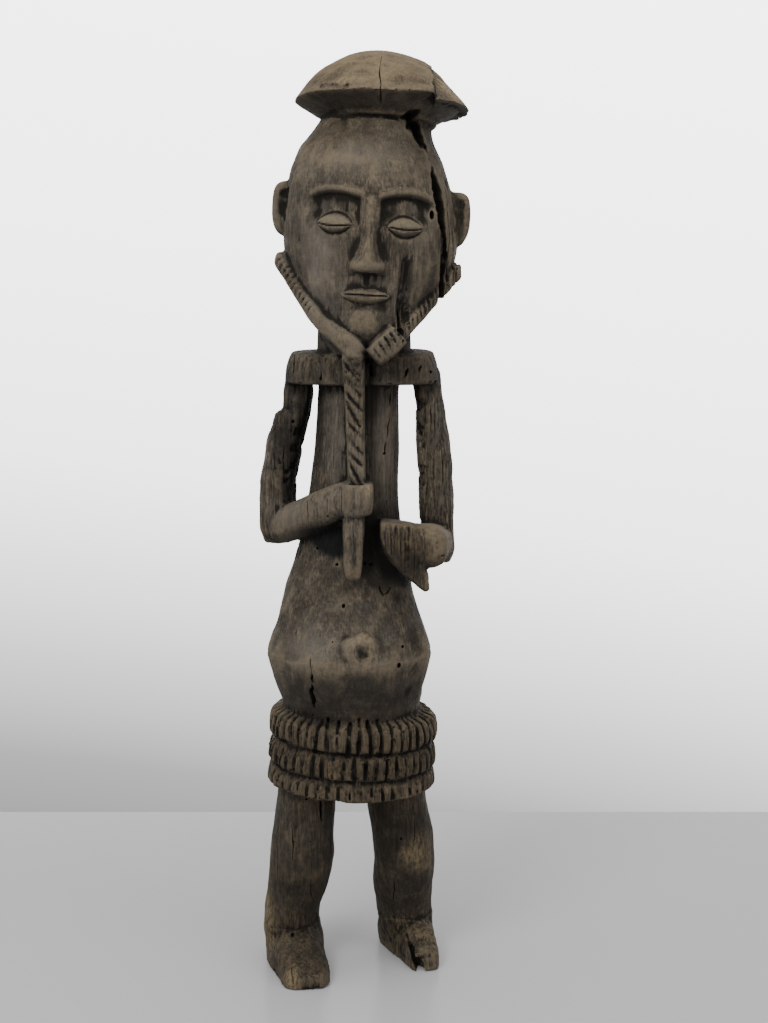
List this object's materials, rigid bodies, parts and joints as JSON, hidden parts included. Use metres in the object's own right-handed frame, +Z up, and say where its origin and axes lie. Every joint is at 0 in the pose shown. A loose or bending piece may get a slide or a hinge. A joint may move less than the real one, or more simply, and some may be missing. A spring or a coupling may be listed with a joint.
{
  "type": "carved statuette",
  "caption": "standing bearded male elder carved from one block of wood, with a flared cap, a plait held in one fist, a broken bowl and a notched hip belt",
  "frame": {"origin": "on the floor, under the middle of the figure's bounding box", "axes": "+Z up, along the figure; the figure looks along -Y and its own left side is at +X"},
  "size_m": [0.193, 0.1713, 0.85],
  "materials": {
    "old_wood": "weathered, dry, with worn tan edges and dark cracks"
  },
  "bodies": {
    "root": {"statuette": "old_wood"}
  },
  "joints": []
}
